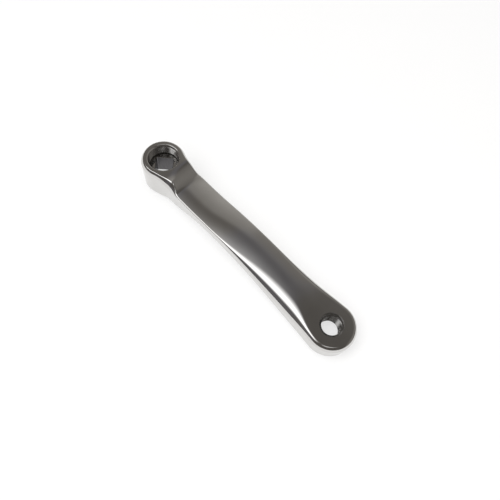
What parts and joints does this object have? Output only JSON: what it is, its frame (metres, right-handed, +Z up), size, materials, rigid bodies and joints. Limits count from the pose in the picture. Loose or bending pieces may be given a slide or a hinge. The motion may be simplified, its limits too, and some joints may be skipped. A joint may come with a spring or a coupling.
{
  "type": "bicycle crank arm",
  "caption": "Forged, chrome-plated bicycle crank arm with a tapered square spindle socket, a threaded extractor recess and a threaded pedal eye.",
  "frame": {"origin": "centre of the square spindle socket on the inboard land", "axes": "+X from the spindle socket to the pedal eye as the arm lies on its inboard side, +Y across the arm, +Z up from the table; the spindle axis leans 3.84 degrees from +Z towards +X"},
  "size_m": [0.2041, 0.0346, 0.0273],
  "materials": {
    "crank_arm": "mirror-polished chrome plate on steel"
  },
  "bodies": {
    "root": {"crank_arm": "crank_arm"}
  },
  "joints": []
}
